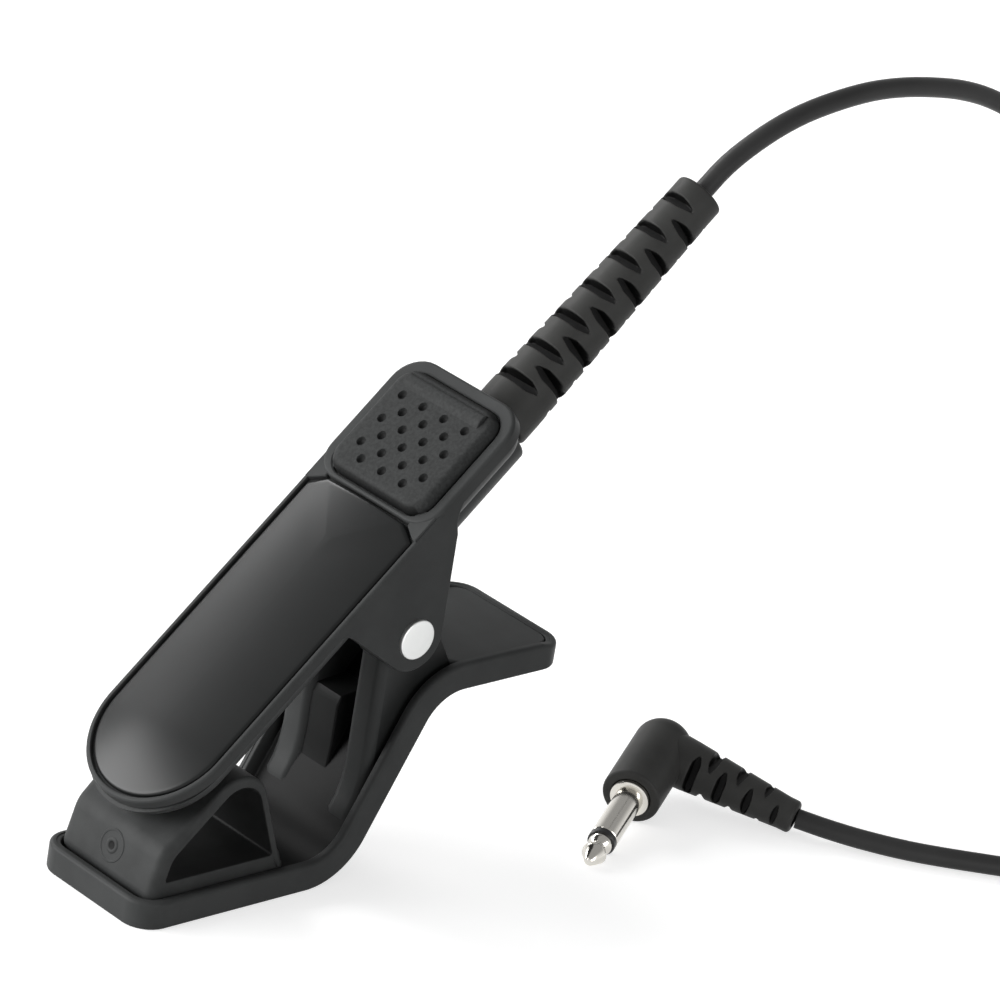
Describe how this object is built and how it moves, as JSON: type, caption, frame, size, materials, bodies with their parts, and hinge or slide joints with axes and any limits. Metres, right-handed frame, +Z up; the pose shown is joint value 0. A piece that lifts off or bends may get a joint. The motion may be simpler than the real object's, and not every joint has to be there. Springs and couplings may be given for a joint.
{
  "type": "clip-on contact pickup for a tuner",
  "caption": "Sprung clip with a piezo contact pickup in its upper jaw, a rubber-padded lower jaw, a ribbed cable boot and a thin lead to a right-angle 3.5 mm jack plug.",
  "frame": {"origin": "middle of the flat underside of the lower jaw's front plate, on which the clip stands", "axes": "+X to the clip's right, +Y from the jaw mouth back to the handles, +Z up"},
  "size_m": [0.0701, 0.1647, 0.0876],
  "materials": {
    "abs_black": "injection-moulded ABS with a fine satin texture",
    "abs_satin_black": "injection-moulded ABS, satin to semi-gloss",
    "elastomer_black": "matte moulded elastomer with a fine grain",
    "rubber_black": "matte moulded rubber",
    "pvc_boot": "matte flexible PVC overmould",
    "nickel_pin": "nickel-plated steel, polished",
    "brass": "thin rolled brass",
    "piezo_white": "fired piezo ceramic, silvered",
    "foam_grey": "closed-cell foam",
    "wire_red": "PVC wire insulation",
    "spring_steel": "nickel-plated spring wire",
    "pvc_cord": "extruded PVC cable jacket, satin",
    "tie_black": "nylon tie",
    "pvc_plug": "moulded PVC plug body, satin",
    "nickel_plug": "nickel-plated brass, turned and polished",
    "ring_black": "moulded insulating ring"
  },
  "bodies": {
    "lower_body": {"lower_jaw": "abs_black", "jaw_pad": "rubber_black", "torsion_spring": "spring_steel", "cord_run": "pvc_cord", "cord_coil": "pvc_cord", "coil_tie": "tie_black", "cord_tail": "pvc_cord", "plug_body": "pvc_plug", "plug_sleeve": "nickel_plug", "plug_insulator": "ring_black", "plug_tip": "nickel_plug"},
    "upper_body": {"upper_housing": "abs_black", "top_cover": "abs_satin_black", "thumb_pad": "elastomer_black", "nose_pad": "rubber_black", "strain_relief": "pvc_boot", "pivot_pin": "nickel_pin", "piezo_disc": "brass", "piezo_ceramic": "piezo_white", "sensor_cushion": "foam_grey", "sensor_leads": "wire_red"}
  },
  "joints": [
    {"name": "jaw_hinge", "type": "hinge", "parent": "lower_body", "child": "upper_body", "pos_m": [0, 0.0237, 0.0307], "axis": [-1, 0, 0], "range_deg": [0, 32], "stiffness_Nm_per_rad": 0.12, "springref_deg": -68.75, "deforming": ["torsion_spring", "cord_run"]}
  ]
}
